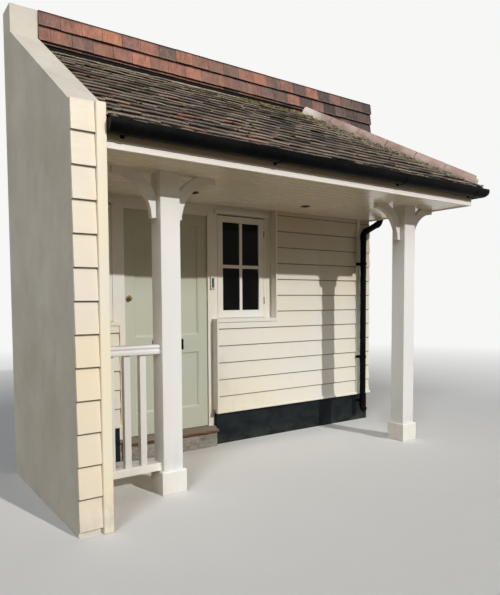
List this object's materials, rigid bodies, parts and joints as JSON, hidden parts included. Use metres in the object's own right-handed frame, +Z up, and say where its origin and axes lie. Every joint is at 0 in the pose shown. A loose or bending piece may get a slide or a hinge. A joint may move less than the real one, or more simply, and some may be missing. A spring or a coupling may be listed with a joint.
{
  "type": "entrance porch",
  "caption": "Lean-to entrance porch with a tiled hipped canopy on two square posts, over a panelled front door and two casement windows in a boarded wall.",
  "frame": {"origin": "middle of the bounding box, on the ground", "axes": "+Z up, +Y into the house, +X along the front to the right as seen by a visitor"},
  "size_m": [3.929, 1.631, 3.56],
  "materials": {
    "plinth_black": "brushed masonry paint",
    "wall_core": "lime plaster",
    "board_paint": "satin paint on lapped boards",
    "white_joinery": "satin paint",
    "post_paint": "satin paint",
    "soffit_gloss": "gloss paint on grooved boards",
    "wall_tile": "weathered clay",
    "roof_tile": "weathered clay with lichen",
    "hip_tile": "weathered clay",
    "mortar": "lime mortar",
    "step_stone": "worn stone",
    "threshold_oak": "bare weathered oak",
    "glass": "clear, dark room behind",
    "door_paint": "satin paint",
    "black_metal": "gloss black",
    "aged_brass": "darkened",
    "bell_grey": "satin",
    "lamp_metal": "dark, recessed"
  },
  "bodies": {
    "porch": {"plinth_wall": "plinth_black", "wall_right": "wall_core", "walls_under_windows": "wall_core", "wall_over_porch": "wall_core", "weatherboards": "board_paint", "corner_boards": "white_joinery", "drip_boards": "board_paint", "hanging_tiles": "wall_tile", "side_wall": "wall_core", "side_boards": "board_paint", "side_corner_board": "board_paint", "step_block": "step_stone", "threshold": "threshold_oak", "frame_post_left": "white_joinery", "frame_post_right": "white_joinery", "window_jambs": "white_joinery", "frame_head": "white_joinery", "window_sills": "white_joinery", "casement_left": "white_joinery", "casement_right": "white_joinery", "window_glass": "glass", "window_hoods": "white_joinery", "frame_hinges": "aged_brass", "bell_push": "bell_grey", "post_left": "post_paint", "post_right": "post_paint", "post_feet": "post_paint", "braces": "post_paint", "handrail": "post_paint", "bottom_rail": "post_paint", "balusters": "post_paint", "soffit": "soffit_gloss", "downlights": "lamp_metal", "fascia_front": "white_joinery", "fascia_end": "white_joinery", "roof_front": "roof_tile", "roof_end": "roof_tile", "hip_tiles": "hip_tile", "hip_mortar": "mortar", "gutter_front": "black_metal", "gutter_end": "black_metal", "gutter_brackets": "black_metal", "downpipe": "black_metal", "pipe_clips": "black_metal"},
    "door": {"door_leaf": "door_paint", "letter_plate": "black_metal", "latch_pull": "aged_brass", "door_hinges": "aged_brass"}
  },
  "joints": [
    {"name": "door_hinge", "type": "hinge", "parent": "porch", "child": "door", "pos_m": [-0.25, 0.732, 0.178], "axis": [0, 0, -1], "range_deg": [0, 100]}
  ]
}
